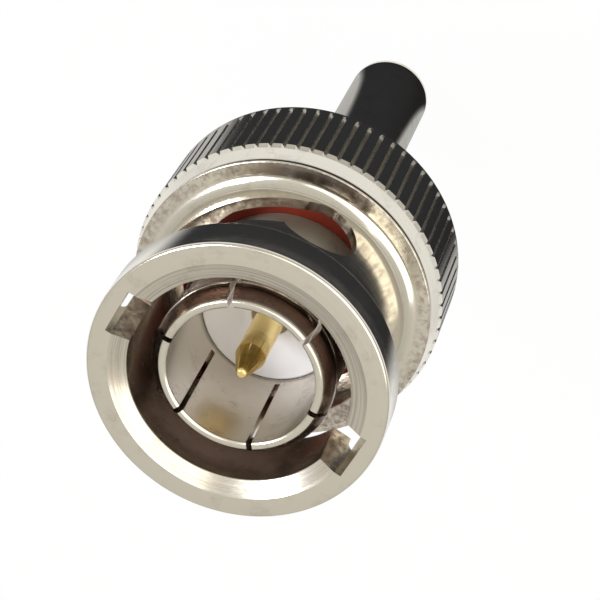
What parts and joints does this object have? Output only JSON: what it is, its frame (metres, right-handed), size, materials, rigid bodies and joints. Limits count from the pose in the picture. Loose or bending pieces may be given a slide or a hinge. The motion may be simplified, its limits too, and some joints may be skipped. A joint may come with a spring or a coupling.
{
  "type": "coaxial bayonet plug",
  "caption": "Straight crimp coaxial plug with a knurled bayonet nut, slotted outer contact, centre pin and red gasket, on a slim cable ferrule.",
  "frame": {"origin": "centre of the ferrule's rear end, which is the lowest point of the plug", "axes": "+Z along the plug's axis towards the mating face, +X through one entry keyway of the nut"},
  "size_m": [0.0144, 0.0144, 0.0324],
  "materials": {
    "nickel_nut": "nickel plated, satin turned",
    "nickel_contact": "nickel plated, bright",
    "nickel_body": "nickel plated",
    "nickel_ferrule": "nickel plated, smooth drawn tube",
    "gold": "gold plated",
    "fluoropolymer": "white, waxy",
    "silicone": "red silicone rubber, satin",
    "spring_steel": "spring steel, bright",
    "washer_steel": "spring steel, bright",
    "ring_steel": "spring steel, bright"
  },
  "bodies": {
    "plug": {"plug_body": "nickel_body", "outer_contact": "nickel_contact", "insulator": "fluoropolymer", "centre_pin": "gold", "gasket": "silicone", "crimp_ferrule": "nickel_ferrule"},
    "washer": {"thrust_washer": "washer_steel", "wave_spring": "spring_steel"},
    "nut": {"coupling_nut": "nickel_nut", "retaining_ring": "ring_steel"}
  },
  "joints": [
    {"name": "nut_travel", "type": "slide", "parent": "plug", "child": "washer", "axis": [0, 0, 1], "range_m": [0, 0.0007], "stiffness_N_per_m": 8000, "springref_m": -0.0003, "deforming": ["wave_spring"]},
    {"name": "nut_spin", "type": "hinge", "parent": "washer", "child": "nut", "pos_m": [0, 0, 0.0205], "axis": [0, 0, 1], "continuous": true}
  ]
}
